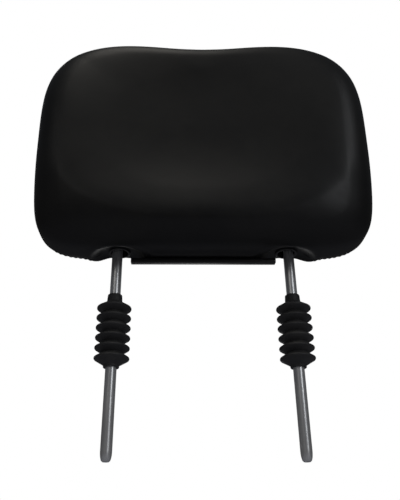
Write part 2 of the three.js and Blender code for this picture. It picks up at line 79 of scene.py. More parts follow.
camera_data = bpy.data.cameras.new("camera")
camera_data.sensor_fit = "VERTICAL"
camera_data.sensor_height = SENSOR_HEIGHT
camera_data.lens = FOCAL_LENGTH
camera_data.shift_x = CAMERA_SHIFT
camera_data.clip_start = 10 * MM
camera = bpy.data.objects.new("camera", camera_data)
camera_rotation = camera_turn(CAMERA_AZIMUTH, CAMERA_ELEVATION, CAMERA_ROLL)
camera.matrix_world = Matrix.Translation(CAMERA_PLACE) @ camera_rotation
bpy.context.scene.collection.objects.link(camera)
bpy.context.scene.camera = camera
bpy.context.scene.view_settings.view_transform = "Standard"
print("camera at", tuple(round(x, 3) for x in CAMERA_PLACE))

# %% [markdown]
# ## Shader maths that reads like maths
# A material is a tree of nodes. Wiring a tree by hand hides the idea behind it, so one small class wraps
# a socket and gives it Python's operators: `0.4 + mask * 0.2` then adds its Math nodes by itself. A
# second class holds a tree and adds any other node through one method, with its settings first and its
# sockets after.

# %% Sockets and trees


class Socket:
    """A value inside a node tree that can be added, multiplied and so on."""

    def __init__(self, tree, socket):
        self.tree = tree
        self.socket = socket

    def maths(self, operation, *values):
        return self.tree.add("ShaderNodeMath", {"operation": operation}, dict(enumerate(values)))

    def __add__(self, other):
        return self.maths("ADD", self, other)

    def __sub__(self, other):
        return self.maths("SUBTRACT", self, other)

    def __mul__(self, other):
        return self.maths("MULTIPLY", self, other)

    __radd__ = __add__

    def step(self, low, high):
        """0 below low, 1 above high and smooth between them."""
        return self.tree.add(
            "ShaderNodeMapRange", {"interpolation_type": "SMOOTHSTEP"}, {0: self, 1: low, 2: high}
        )


class Tree:
    """A node tree with one method to add nodes."""

    def __init__(self, node_tree):
        self.nodes = node_tree.nodes
        self.links = node_tree.links

    def add(self, kind, settings=None, inputs=None, output=0):
        node = self.nodes.new(kind)
        for name, value in (settings or {}).items():
            setattr(node, name, value)
        for key, value in (inputs or {}).items():
            self.feed(node.inputs[key], value)
        return Socket(self, node.outputs[output])

    def feed(self, socket, value):
        if isinstance(value, Socket):
            self.links.new(value.socket, socket)
        else:
            socket.default_value = value

    def mix(self, factor, first, second):
        """A colour between two colours."""
        colours = [value if isinstance(value, Socket) else (*value, 1.0) for value in (first, second)]
        return self.add(
            "ShaderNodeMix", {"data_type": "RGBA"}, {0: factor, 6: colours[0], 7: colours[1]}, output=2
        )

    def noise(self, where, scale, detail=2.0, roughness=0.5):
        inputs = {"Vector": where, "Scale": scale, "Detail": detail, "Roughness": roughness}
        return self.add("ShaderNodeTexNoise", None, inputs)


class Finish(Tree):
    """A material with one Principled shader."""

    def __init__(self, name, **fixed):
        self.material = bpy.data.materials.new(name)
        self.material.use_nodes = True
        super().__init__(self.material.node_tree)
        self.shader = self.nodes["Principled BSDF"]
        for socket, value in fixed.items():
            label = socket.replace("_", " ").title().replace("Ior", "IOR")
            self.shader.inputs[label].default_value = value

    def where(self, stretch=(1, 1, 1)):
        """A point of the surface in metres, stretched along each axis."""
        place = self.add("ShaderNodeTexCoord", output="Object")
        if tuple(stretch) == (1, 1, 1):
            return place
        return self.add("ShaderNodeMapping", None, {"Vector": place, "Scale": stretch})

    def surface(self, **sockets):
        names = {"colour": "Base Color", "roughness": "Roughness", "normal": "Normal"}
        for name, value in sockets.items():
            self.feed(self.shader.inputs[names[name]], value)
        return self.material

    def bump(self, height, strength, distance, under=None):
        inputs = {"Height": height, "Strength": strength, "Distance": distance}
        if under:
            inputs["Normal"] = under
        return self.add("ShaderNodeBump", None, inputs)


# %% [markdown]
# ## A plain studio
# The background of the photograph is pure white. We don't get that white by pouring light on the object:
# the world is white for rays that come from the camera or pass through something, and for mirror rays
# only within a narrow cone straight behind the object. All other rays find a dim studio. The pale floor
# lies a little below the camera, and the posts hang over it as they would over a seat.

# %% World and floor
AMBIENT = 0.09
SKY_LOW = (0.55, 0.52, 0.48)
SKY_HIGH = (0.9, 0.97, 1.08)
CARD_INNER = 0.999
CARD_OUTER = 0.985
FLOOR_HEIGHT = -90 * MM
FLOOR_SIZE = 4.0
FLOOR_SEEN = (0.86, 0.86, 0.86)
FLOOR_FELT = (0.62, 0.62, 0.67)


def studio_world():
    world = bpy.data.worlds.new("studio")
    world.use_nodes = True
    tree = Tree(world.node_tree)
    background = world.node_tree.nodes["Background"]
    direction = tree.add("ShaderNodeTexCoord", output="Generated")
    rays = tree.add("ShaderNodeLightPath", output="Is Camera Ray")
    node = rays.socket.node
    through = Socket(tree, node.outputs["Is Transmission Ray"])
    mirrored = Socket(tree, node.outputs["Is Glossy Ray"])
    axis = tree.add("ShaderNodeSeparateXYZ", None, {0: direction}, output="Y")
    up = tree.add("ShaderNodeSeparateXYZ", None, {0: direction}, output="Z")
    card = axis.step(CARD_OUTER, CARD_INNER)
    white = rays + through + mirrored * card
    sky = tree.mix(up.step(-0.2, 0.9), SKY_LOW, SKY_HIGH)
    tree.feed(background.inputs["Color"], tree.mix(white, sky, (1, 1, 1)))
    tree.feed(background.inputs["Strength"], AMBIENT + white * (1 - AMBIENT))
    bpy.context.scene.world = world


def studio_floor():
    bm = bmesh.new()
    bmesh.ops.create_grid(bm, x_segments=1, y_segments=1, size=FLOOR_SIZE / 2)
    bmesh.ops.translate(bm, vec=(0, 0, FLOOR_HEIGHT), verts=bm.verts)
    mesh = bpy.data.meshes.new("floor")
    bm.to_mesh(mesh)
    bm.free()
    floor = bpy.data.objects.new("floor", mesh)
    bpy.context.scene.collection.objects.link(floor)
    paint = Finish("floor_paint")
    seen = paint.add("ShaderNodeLightPath", output="Is Camera Ray")
    mesh.materials.append(paint.surface(colour=paint.mix(seen, FLOOR_FELT, FLOOR_SEEN), roughness=0.9))


studio_world()
studio_floor()
print("floor at", FLOOR_HEIGHT, "m")

# %% [markdown]
# ## Lamps
# The light in the photograph is soft and comes from high above the camera: the lower half of the dished
# face, which leans back and looks up, is the brightest part of the vinyl. A narrow lamp stands to the
# right, because each steel post shows one thin bright streak right of its middle. A faint broad lamp on
# the left lifts the rest of the steel, and a very weak cool one behind draws the grey line along the
# crown.

# %% Lamps
LAMPS = [
    ("key", (-0.16, -0.68, 1.58), (0.4, 0.4), 3.0, (1.0, 0.96, 0.88)),
    ("strip", (0.80, -1.12, 0.72), (0.11, 1.0), 2.2, (0.95, 0.97, 1.0)),
    ("left", (-0.62, -1.22, 0.80), (0.5, 0.3), 0.45, (1.0, 0.97, 0.92)),
    ("crown", (0.05, 0.75, 1.20), (0.4, 0.3), 0.05, (0.85, 0.90, 1.0)),
]
AIM = Vector((0, -0.03, 0.25))


def add_lamp(name, place, size, power, colour):
    data = bpy.data.lights.new(name, "AREA")
    data.shape = "RECTANGLE"
    data.size, data.size_y = size
    data.energy = power
    data.color = colour
    lamp = bpy.data.objects.new(name, data)
    lamp.location = place
    lamp.rotation_euler = (AIM - Vector(place)).to_track_quat("-Z", "Y").to_euler()
    bpy.context.scene.collection.objects.link(lamp)


for row in LAMPS:
    add_lamp(*row)
print("lamps:", len(LAMPS))

# %% [markdown]
# ## Black vinyl
# Headrest vinyl is a smooth plastic skin with a fine pressed grain. Up close it is a net of soft cells
# about a millimetre across; from a step away only the broad, cloudy gloss is left. So the grain is a
# bump of small cells, and roughness drifts slowly over the surface. Where a head rubs, on the raised lip
# round the dish, the grain is polished a little: the mesh carries that mask in an attribute named
# polish.

# %% Vinyl
VINYL_DARK = (0.0085, 0.0085, 0.0088)
VINYL_LIGHT = (0.0135, 0.0132, 0.0128)
GRAIN_CELL = 1.0 * MM
GRAIN_WANDER = 0.5 * MM
GRAIN_HEIGHT = 0.05 * MM
FOLD_HEIGHT = 0.10 * MM


def make_vinyl():
    finish = Finish("vinyl", specular_ior_level=0.32)
    place = finish.where()
    wander = finish.add("ShaderNodeTexNoise", None, {"Vector": place, "Scale": 900.0}, output="Color")
    bent = finish.add(
        "ShaderNodeVectorMath", {"operation": "MULTIPLY_ADD"}, {0: wander, 1: (GRAIN_WANDER,) * 3, 2: place}
    )
    cells = finish.add(
        "ShaderNodeTexVoronoi",
        {"feature": "SMOOTH_F1"},
        {"Vector": bent, "Scale": 1 / GRAIN_CELL, "Smoothness": 0.6},
    )
    soft = finish.noise(place, 160.0, 3.0)
    cloud = finish.noise(place, 14.0, 4.0, 0.6)
    polish = finish.add("ShaderNodeAttribute", {"attribute_name": "polish"}, output="Fac")
    colour = finish.mix(cloud.step(0.35, 0.7), VINYL_DARK, VINYL_LIGHT)
    roughness = 0.44 + (cloud - 0.5) * 0.10 + (soft - 0.5) * 0.06 - polish * 0.07
    waves = finish.bump(soft, 0.35, FOLD_HEIGHT)
    grain = finish.bump(cells, 0.45, GRAIN_HEIGHT, under=waves)
    return finish.surface(colour=colour, roughness=roughness, normal=grain)


VINYL = make_vinyl()
print("vinyl cells of", GRAIN_CELL / MM, "mm")

# %% [markdown]
# ## Rubber, plastic, thread and foam
# The boots are moulded rubber: matt, with a faint bloom of dust and a skin that is never quite even. The
# rings and the closing rails are glossier black plastic with a fine spark-eroded texture. The thread is
# twisted, with painted shade in the grooves between its plies, and the foam inside is an open sponge.

# %% Dark finishes


def make_rubber():
    finish = Finish("boot_rubber", specular_ior_level=0.5)
    place = finish.where()
    bloom = finish.noise(place, 55.0, 5.0, 0.65)
    skin = finish.noise(place, 900.0, 2.0)
    colour = finish.mix(bloom.step(0.4, 0.75), (0.036, 0.036, 0.037), (0.058, 0.057, 0.056))
    roughness = 0.46 + bloom * 0.16
    return finish.surface(colour=colour, roughness=roughness, normal=finish.bump(skin, 0.3, 0.04 * MM))


def make_plastic():
    finish = Finish("black_plastic", specular_ior_level=0.5)
    place = finish.where()
    texture = finish.noise(place, 1500.0, 2.0)
    cloud = finish.noise(place, 40.0, 3.0)
    colour = finish.mix(cloud, (0.008, 0.008, 0.0085), (0.013, 0.013, 0.013))
    roughness = 0.28 + cloud * 0.12
    return finish.surface(colour=colour, roughness=roughness, normal=finish.bump(texture, 0.25, 0.03 * MM))


def make_thread():
    finish = Finish("thread", specular_ior_level=0.4)
    place = finish.where()
    twist_and_groove_shade = finish.add(
        "ShaderNodeTexWave",
        {"wave_type": "BANDS", "bands_direction": "DIAGONAL"},
        {"Vector": place, "Scale": 900.0, "Distortion": 0.5},
    )
    # painted shade: the thread's colour is darker in the grooves between the plies and lighter on their
    # crests
    colour = finish.mix(twist_and_groove_shade, (0.008, 0.008, 0.009), (0.028, 0.028, 0.030))
    return finish.surface(colour=colour, roughness=0.6, normal=finish.bump(twist_and_groove_shade, 0.5, 0.06 * MM))


def make_foam():
    finish = Finish("foam", specular_ior_level=0.2)
    place = finish.where()
    pores = finish.add("ShaderNodeTexVoronoi", {"feature": "F1"}, {"Vector": place, "Scale": 700.0})
    cloud = finish.noise(place, 30.0, 3.0)
    colour = finish.mix(cloud, (0.030, 0.030, 0.030), (0.060, 0.058, 0.055))
    return finish.surface(colour=colour, roughness=0.95, normal=finish.bump(pores, 0.8, 0.4 * MM))


RUBBER = make_rubber()
PLASTIC = make_plastic()
THREAD = make_thread()
FOAM = make_foam()
print("dark finishes: rubber, plastic, thread, foam")

# %% [markdown]
# ## Steel
# The posts are drawn rod, ground and plated. Grinding leaves hair lines, here drawn out along the rod by
# stretching a noise a hundred times more along Z than across it. The hair lines vary the roughness and
# barely lift the surface. In this dim studio pure metal comes out darker than the photograph's posts, so
# about a fifth of the shader is a pale matt layer. The plate and straps inside are plain zinc-coated
# sheet with a grey spangle.

# %% Steel
HAIR_LINES = (1600, 1600, 14)
PLATING_METAL = 0.78


def make_post_steel():
    finish = Finish("post_steel", metallic=PLATING_METAL)
    hairs = finish.noise(finish.where(HAIR_LINES), 1.0, 3.0)
    clouds = finish.noise(finish.where(), 45.0, 4.0, 0.6)
    colour = finish.mix(clouds.step(0.35, 0.75), (0.80, 0.81, 0.82), (0.88, 0.885, 0.89))
    roughness = 0.24 + hairs * 0.10 + clouds * 0.08
    return finish.surface(colour=colour, roughness=roughness, normal=finish.bump(hairs, 0.10, 0.02 * MM))


def make_plate_steel():
    finish = Finish("plate_steel", metallic=0.9)
    place = finish.where()
    spangle = finish.add("ShaderNodeTexVoronoi", {"feature": "F1"}, {"Vector": place, "Scale": 180.0})
    colour = finish.mix(spangle, (0.16, 0.165, 0.17), (0.34, 0.35, 0.36))
    roughness = 0.42 + spangle * 0.2
    return finish.surface(colour=colour, roughness=roughness)


POST_STEEL = make_post_steel()
PLATE_STEEL = make_plate_steel()
print("steel: posts and plate")

# %% [markdown]
# ## Turning a bmesh into a piece
# Every new piece ends the same way: doubles merged, normals outward, the mesh stored in an object at the
# origin, shaded smooth except at real edges, then tied to the body it moves with. One helper does that.

# %% Piece helper
SHARP_ANGLE = math.radians(38)
MERGE_DISTANCE = 0.002 * MM


def add_piece(name, bm, finish, body, stands_for=(), clean=True):
    if clean:
        bmesh.ops.remove_doubles(bm, verts=bm.verts, dist=MERGE_DISTANCE)
        bmesh.ops.recalc_face_normals(bm, faces=bm.faces)
    mesh = bpy.data.meshes.new(name)
    bm.to_mesh(mesh)
    bm.free()
    mesh.materials.clear()
    mesh.materials.append(finish)
    mesh.shade_smooth()
    mesh.set_sharp_from_angle(angle=SHARP_ANGLE)
    piece = bpy.data.objects.new(name, mesh)
    bpy.context.scene.collection.objects.link(piece)
    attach(piece, body)
    if stands_for:
        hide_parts(*stands_for)
    print(name, len(mesh.polygons), "faces")
    return piece


def open_edges(bm):
    return [edge for edge in bm.edges if edge.is_boundary]


def extruded(bm, edges, move):
    """Extrudes a chain of edges by a vector and returns the new edges."""
    grown = bmesh.ops.extrude_edge_only(bm, edges=edges)["geom"]
    verts = [item for item in grown if isinstance(item, bmesh.types.BMVert)]
    bmesh.ops.translate(bm, vec=move, verts=verts)
    return [item for item in grown if isinstance(item, bmesh.types.BMEdge)]


# %% [markdown]
# ## The posts
# One rod, bent into a U, is both posts. We make it as the bending shop does: start with a circle in the
# middle of the cross bar, push it along, swing it round the top corner, push it down, turn it through
# the small knee just inside the cushion, and push it to the tip. Extrude is the push and spin is the
# bend. The other half is a mirror of the first.

# %% Post rod
POST_RADIUS = 5 * MM
POST_SIDES = 48
KNEE_RADIUS = 60 * MM
TOP_BEND_RADIUS = 22 * MM
FRAME_LEAN = math.radians(7)
KNEE_HEIGHT = 205 * MM
LEG_LENGTH = 132 * MM
TIP_LENGTH = 8.5 * MM
TIP_END_RADIUS = 2.8 * MM
TIP_STEPS = 10
CORNER_STEPS = 20
KNEE_STEPS = 6
MIRROR_MERGE = 0.01 * MM

boot_low, boot_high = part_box("bellows_right")
POST_X = (boot_low.x + boot_high.x) / 2
UP_LEG = Vector((0, -math.sin(FRAME_LEAN), math.cos(FRAME_LEAN)))


def swung(bm, edges, centre, axis, angle, steps):
    result = bmesh.ops.spin(bm, geom=edges, cent=centre, axis=axis, angle=angle, steps=steps)["geom_last"]
    return [item for item in result if isinstance(item, bmesh.types.BMEdge)]


def post_rod():
    across = Vector((1, 0, 0))
    knee = Vector((POST_X, 0, KNEE_HEIGHT))
    corner = knee + UP_LEG * LEG_LENGTH
    knee_tangent = KNEE_RADIUS * math.tan(FRAME_LEAN / 2)
    bm = bmesh.new()
    at_middle = Matrix.Translation(corner - across * corner.x)
    start = at_middle @ Matrix.Rotation(-FRAME_LEAN, 4, "X") @ Matrix.Rotation(math.pi / 2, 4, "Y")
    bmesh.ops.create_circle(bm, cap_ends=False, segments=POST_SIDES, radius=POST_RADIUS, matrix=start)
    edges = extruded(bm, list(bm.edges), across * (POST_X - TOP_BEND_RADIUS))
    bend_centre = corner - (across + UP_LEG) * TOP_BEND_RADIUS
    edges = swung(bm, edges, bend_centre, across.cross(UP_LEG), -math.pi / 2, CORNER_STEPS)
    edges = extruded(bm, edges, -UP_LEG * (LEG_LENGTH - TOP_BEND_RADIUS - knee_tangent))
    knee_centre = knee - Vector((0, KNEE_RADIUS, knee_tangent))
    edges = swung(bm, edges, knee_centre, across, -FRAME_LEAN, KNEE_STEPS)
    straight = KNEE_HEIGHT - knee_tangent - TIP_LENGTH
    edges = extruded(bm, edges, Vector((0, 0, -straight)))
    for step in range(1, TIP_STEPS + 1):
        part = 1 - step / TIP_STEPS
        swell = math.sqrt(1 - (1 - part) ** 2)
        radius = TIP_END_RADIUS + (POST_RADIUS - TIP_END_RADIUS) * swell
        edges = extruded(bm, edges, Vector((0, 0, -TIP_LENGTH / TIP_STEPS)))
        for vert in {vert for edge in edges for vert in edge.verts}:
            spoke = Vector((vert.co.x - POST_X, vert.co.y)).normalized() * radius
            vert.co.x = POST_X + spoke.x
            vert.co.y = spoke.y
    bmesh.ops.edgeloop_fill(bm, edges=edges)
    half = list(bm.verts) + list(bm.edges) + list(bm.faces)
    bmesh.ops.mirror(bm, geom=half, axis="X", merge_dist=MIRROR_MERGE)
    return bm


add_piece("posts", post_rod(), POST_STEEL, "headrest", ["post_frame"])
print("posts", round(2 * POST_X / MM, 1), "mm apart")

# %% [markdown]
# ## The boots
# Each boot is a bellows: a thin rubber tube with six round folds and a collar at each end. A turned part
# wants a profile and a spin. The profile is a chain of points that a loop works out from the pitch of
# the folds. Rounding the chain's corners before the spin costs far less than bevelling the finished
# shape.

# %% Boots
CONVOLUTIONS = 6
CONVOLUTION_PITCH = 9.5 * MM
RIM_RADIUS = 15.8 * MM
ROOT_RADIUS = 9.6 * MM
RIM_FLAT = 1.2 * MM
BOOT_WALL = 1.3 * MM
FOOT_COLLAR = 3.4 * MM
HEAD_COLLAR = 8.6 * MM
COLLAR_WALL = 1.8 * MM
COLLAR_TAPER = 0.5 * MM
BORE_GAP = 0.35 * MM
BOOT_SIDES = 96
BOOT_SOFTENING = 0.45 * MM
BEVEL_SEGMENTS = 3


def boot_profile():
    bore = POST_RADIUS + BORE_GAP
    collar = bore + COLLAR_WALL
    first_rim = FOOT_COLLAR + CONVOLUTION_PITCH / 2
    outer = [(collar, 0), (collar, FOOT_COLLAR - BOOT_WALL)]
    inner = [(bore, 0), (bore, FOOT_COLLAR)]
    for k in range(CONVOLUTIONS):
        rim = first_rim + k * CONVOLUTION_PITCH
        outer += [(RIM_RADIUS, rim - RIM_FLAT / 2), (RIM_RADIUS, rim + RIM_FLAT / 2)]
        inner += [(RIM_RADIUS - BOOT_WALL, rim)]
        if k < CONVOLUTIONS - 1:
            outer += [(ROOT_RADIUS, rim + CONVOLUTION_PITCH / 2)]
            inner += [(ROOT_RADIUS - BOOT_WALL, rim + CONVOLUTION_PITCH / 2)]
    neck = FOOT_COLLAR + CONVOLUTIONS * CONVOLUTION_PITCH
    top = neck + HEAD_COLLAR
    outer += [(collar, neck + BOOT_WALL), (collar - COLLAR_TAPER, top)]
    inner += [(bore, neck), (bore, top)]
    return outer + inner[::-1]


def spun(profile, centre, sides, softening):
    """Turns a closed profile of (radius, height) about an upright axis through centre."""
    bm = bmesh.new()
    verts = [bm.verts.new(centre + Vector((radius, 0, height))) for radius, height in profile]
    for first, second in zip(verts, verts[1:] + verts[:1]):
        bm.edges.new((first, second))
    rounding = {"segments": BEVEL_SEGMENTS, "profile": 0.5, "affect": "VERTICES", "material": -1}
    bmesh.ops.bevel(bm, geom=verts, offset=softening, **rounding)
    turn = {"axis": (0, 0, 1), "angle": 2 * math.pi, "use_merge": True}
    bmesh.ops.spin(bm, geom=list(bm.edges), cent=centre, steps=sides, **turn)
    return bm


for side, name in ((-1, "left"), (1, "right")):
    foot = Vector((side * POST_X, 0, boot_low.z))
    boot = spun(boot_profile(), foot, BOOT_SIDES, BOOT_SOFTENING)
    add_piece(f"boot_{name}_rubber", boot, RUBBER, f"boot_{name}", [f"bellows_{name}"])
print("boots", round((boot_high.z - boot_low.z) / MM, 1), "mm long")

# %% [markdown]
# ## The rings
# A plastic ring lines the hole where each post leaves the vinyl, a touch inboard of the post, so a dark
# crescent shows beside the steel. It is a second turned part.

# %% Rings
RING_X = 80.5 * MM
RING_BORE = 8.3 * MM
RING_WALL = 0.8 * MM
RING_FLANGE = 1.4 * MM
FLANGE_THICKNESS = 1.0 * MM
RING_OUTER = RING_BORE + RING_WALL
RING_SIDES = 72
RING_SOFTENING = 0.25 * MM

ring_low, ring_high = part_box("post_ring_right")


def ring_profile():
    rim = RING_OUTER + RING_FLANGE
    top = ring_high.z - ring_low.z
    return [
        (RING_BORE, 0),
        (rim - FLANGE_THICKNESS / 2, 0),
        (rim, FLANGE_THICKNESS / 2),
        (rim, FLANGE_THICKNESS),
        (RING_OUTER, FLANGE_THICKNESS),
        (RING_OUTER, top),
        (RING_BORE, top),
    ]


for side, name in ((-1, "left"), (1, "right")):
    ring = spun(ring_profile(), Vector((side * RING_X, 0, ring_low.z)), RING_SIDES, RING_SOFTENING)
    add_piece(f"ring_{name}", ring, PLASTIC, "headrest", [f"post_ring_{name}"])

# %% [markdown]
# ## The closing rails
# Under the cushion the two halves of the cover end in plastic rails that hook into each other. Their CAD
# shape is right, but its edges are knife sharp, and a knife edge never catches light. We copy the mesh,
# merge its loose triangles, melt the flat ones together and bevel what is left.

# %% Rails
RAIL_SOFTENING = 0.22 * MM
FLAT_ANGLE = math.radians(2)


def softened_copy(node_name, width):
    bm = bmesh.new()
    bm.from_mesh(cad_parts[node_name].data)
    bmesh.ops.remove_doubles(bm, verts=bm.verts, dist=MERGE_DISTANCE)
    bmesh.ops.dissolve_limit(bm, angle_limit=FLAT_ANGLE, verts=bm.verts, edges=bm.edges)
    rounding = {"segments": 2, "profile": 0.5, "affect": "EDGES", "material": -1}
    bmesh.ops.bevel(bm, geom=list(bm.edges), offset=width, **rounding)
    return bm


for name in ("closing_rail_front", "closing_rail_back"):
    rail = softened_copy(name, RAIL_SOFTENING)
    add_piece(name.replace("closing_rail", "rail"), rail, PLASTIC, "headrest", [name])

# %% [markdown]
# ## The form of the cushion
# The cushion is a leaning slab, fuller at its foot than at its crown, with a dished face and a shallow
# saddle in its top edge. One function holds all of that: it takes a point of a unit block and says where
# the skin is. The block is a cube whose faces are split into even squares, so the mesh has no pole in
# the middle of the face, where a black glossy surface would show it at once.

# %% Cushion form
HALF_WIDTH = 163.5 * MM
CUSHION_HEIGHT = 232 * MM
WAIST_HEIGHT = 102 * MM
FOOT_HALF_DEPTH = 38.5 * MM
CROWN_HALF_DEPTH = 32 * MM
FOOT_MIDDLE_Y = -16.5 * MM
CROWN_MIDDLE_Y = -40 * MM
UPPER_CORNER_POWER = 4.15
LOWER_CORNER_POWER = 8.5
FOOT_TAPER = 0.035
EDGE_POWER = 4.4
CROWN_EDGE_POWER = 8.0
CORNER_FALL = 18 * MM
DISH_DEPTH = 16 * MM
DISH_HALF_WIDTH = 152 * MM
DISH_HEIGHT = 125 * MM
DISH_BELOW = 107 * MM
DISH_ABOVE = 140 * MM
DISH_POWER = 2.5
DISH_SOFTNESS = 1.2
SADDLE_DEPTH = 11 * MM
SADDLE_HALF_WIDTH = 70 * MM
SEAM_FOOT_Y = 1 * MM
SEAM_CROWN_Y = -31 * MM
CUSHION_FOOT = 185 * MM


def between(first, second, part):
    return first + (second - first) * part


def clamp(value):
    return max(0.0, min(1.0, value))


def rise_at(point):
    """How far up the cushion a point lies, from 0 at its foot to 1 at its crown."""
    return clamp((point.z - CUSHION_FOOT) / CUSHION_HEIGHT)


def half_depth_at(rise):
    return between(FOOT_HALF_DEPTH, CROWN_HALF_DEPTH, rise)


def middle_at(rise):
    return between(FOOT_MIDDLE_Y, CROWN_MIDDLE_Y, rise)


def seam_at(rise):
    return between(SEAM_FOOT_Y, SEAM_CROWN_Y, rise)


def seam_side(rise):
    return (seam_at(rise) - middle_at(rise)) / half_depth_at(rise)


def eased(part):
    return part * part * (3 - 2 * part)


def dish_weight(x, height):
    """1 in the middle of the hollow, 0 on the lip round it."""
    up = height - DISH_HEIGHT
    across = abs(x / DISH_HALF_WIDTH) ** DISH_POWER
    along = abs(up / (DISH_ABOVE if up > 0 else DISH_BELOW)) ** DISH_POWER
    return max(0.0, 1 - across - along) ** DISH_SOFTNESS


def cushion_point(ring, side, angle, inset):
    """The skin at a ring from the middle of the face, 0, to the outline, 1, and a side from face to back."""
    roll = between(EDGE_POWER, CROWN_EDGE_POWER, max(0.0, math.cos(angle)) ** 2)
    scale = (ring**roll + abs(side) ** roll) ** (-1 / roll)
    ring *= scale
    side *= scale
    upper = math.cos(angle) > 0
    power = UPPER_CORNER_POWER if upper else LOWER_CORNER_POWER
    reach = (abs(math.sin(angle)) ** power + abs(math.cos(angle)) ** power) ** (-1 / power)
    half_height = (CUSHION_HEIGHT - WAIST_HEIGHT if upper else WAIST_HEIGHT) - inset
    height = WAIST_HEIGHT + half_height * reach * ring * math.cos(angle)
    taper = 1 - FOOT_TAPER * max(0.0, 1 - height / WAIST_HEIGHT) ** 2
    x = (HALF_WIDTH - inset) * taper * reach * ring * math.sin(angle)
    rise = clamp(height / CUSHION_HEIGHT)
    half_depth = half_depth_at(rise) - inset
    saddle = SADDLE_DEPTH * rise**3 * math.exp(-((x / SADDLE_HALF_WIDTH) ** 2))
    dish = DISH_DEPTH * dish_weight(x, height)
    fall = CORNER_FALL * (x / HALF_WIDTH) ** 2 * ((height - WAIST_HEIGHT) / half_height) ** 2
    y = middle_at(rise) + half_depth * side + (dish + fall) * max(0.0, -side)
    return Vector((x, y, CUSHION_FOOT + height - saddle))


# %% [markdown]
# ## Rows that follow the seam
# The cover is sewn from a front skin and a back panel. The seam runs all round, a little behind the
# widest part. A seam looks right only if a row of vertices lies along it, so the rows of the block are
# pushed together there, and the row in the seam starts a millimetre under the surface.

# %% Block
ACROSS = 66
UPWARD = 46
DEEP_FRONT = 12
DEEP_BACK = 7
SEAM_SINK = 1.0 * MM
SEAM_CROWDING = 1.35
SWELL = 2.4 * MM
HELD_RING = 19 * MM
HELD_RAIL = 11 * MM
FULLY_HELD = 0.98
OUTLINE_RING = 0.999
UNDERSIDE_REACH = 8 * MM


def even_block():
    bm = bmesh.new()
    bmesh.ops.create_cube(bm, size=2)
    for axis, cuts in ((0, ACROSS), (2, UPWARD), (1, DEEP_FRONT + DEEP_BACK)):
        along = [edge for edge in bm.edges if abs((edge.verts[0].co - edge.verts[1].co)[axis]) > 1]
        bmesh.ops.subdivide_edges(bm, edges=along, cuts=cuts - 1, use_grid_fill=True)
    return bm


def row_side(row, seam):
    """Where a row lies between face, -1, and back, 1: row 0 is the seam and rows crowd towards it."""
    if row <= 0:
        return seam - (1 + seam) * (-row / DEEP_FRONT) ** SEAM_CROWDING
    return seam + (1 - seam) * (row / DEEP_BACK) ** SEAM_CROWDING


def from_ring_axis(point):
    return math.hypot(abs(point.x) - RING_X, point.y)


def held(point):
    """1 where rings and rails hold the skin, 0 where it is free, smooth between them."""
    if point.z > CUSHION_FOOT + UNDERSIDE_REACH:
        return 0.0
    from_rail = max(abs(point.y - SEAM_FOOT_Y), abs(point.x) - RING_X)
    near = min(from_ring_axis(point) / HELD_RING, from_rail / HELD_RAIL)
    return eased(clamp(2 - near))


def shape_cushion(bm):
    """Moves the block's vertices to the skin and returns those that hardware or thread holds."""
    pinned = []
    seam_rows = DEEP_FRONT + DEEP_BACK
    for vert in bm.verts:
        across, deep, upward = vert.co
        ring = max(abs(across), abs(upward))
        angle = math.atan2(across, upward)
        row = round((deep + 1) / 2 * seam_rows) - DEEP_FRONT
        rise = rise_at(cushion_point(ring, deep, angle, 0))
        side = row_side(row, seam_side(rise))
        hold = held(cushion_point(ring, side, angle, 0))
        in_seam = row == 0 and ring > OUTLINE_RING
        inset = (SEAM_SINK if in_seam else SWELL) * (1 - hold)
        vert.co = cushion_point(ring, side, angle, inset)
        if in_seam or hold > FULLY_HELD:
            pinned.append(vert.index)
    return pinned


block = even_block()
block.verts.index_update()
seam_place = 2 * DEEP_FRONT / (DEEP_FRONT + DEEP_BACK) - 1
for face in block.faces:
    if face.calc_center_median().y > seam_place:
        face.material_index = 1
pinned_verts = shape_cushion(block)
bmesh.ops.recalc_face_normals(block, faces=block.faces)
print("block:", len(block.faces), "faces,", len(pinned_verts), "held vertices")

# %% [markdown]
# ## Filling the cushion
# Moulded foam presses a vinyl cover outward until the thread and the hardware hold it back. The skin
# starts a little too small and first moves straight out to the foam's form. Blender's cloth solver then
# shows how the same skin, held by the same vertices, would swell under pressure. That is a balloon's
# form, and foam is much stiffer than air, so only a tenth of the difference is kept.

# %% Swell
SWELL_FRAMES = 20
CLOTH_SETTINGS = {
    "quality": 6,
    "mass": 0.4,
    "tension_stiffness": 40,
    "compression_stiffness": 40,
    "shear_stiffness": 20,
    "bending_stiffness": 8,
    "use_pressure": True,
    "uniform_pressure_force": 4.0,
}
SLACK_SHARE = 0.10
SLACK_CAP = 8.0 * MM


def object_from(bm, name):
    mesh = bpy.data.meshes.new(name)
    bm.to_mesh(mesh)
    bm.free()
    made = bpy.data.objects.new(name, mesh)
    bpy.context.scene.collection.objects.link(made)
    return made


def filled(cushion, pins):
    group = cushion.vertex_groups.new(name="held")
    group.add(pins, 1.0, "REPLACE")
    cloth = cushion.modifiers.new("filling", "CLOTH")
    for setting, value in CLOTH_SETTINGS.items():
        setattr(cloth.settings, setting, value)
    cloth.settings.vertex_group_mass = group.name
    cloth.settings.effector_weights.gravity = 0
    cloth.point_cache.frame_start = 1
    cloth.point_cache.frame_end = SWELL_FRAMES
    for step in range(1, SWELL_FRAMES + 1):
        bpy.context.scene.frame_set(step)
    swollen = cushion.evaluated_get(bpy.context.evaluated_depsgraph_get())
    targets = [vert.co.copy() for vert in swollen.data.vertices]
    cushion.modifiers.remove(cloth)
    bpy.context.scene.frame_set(1)
    return targets


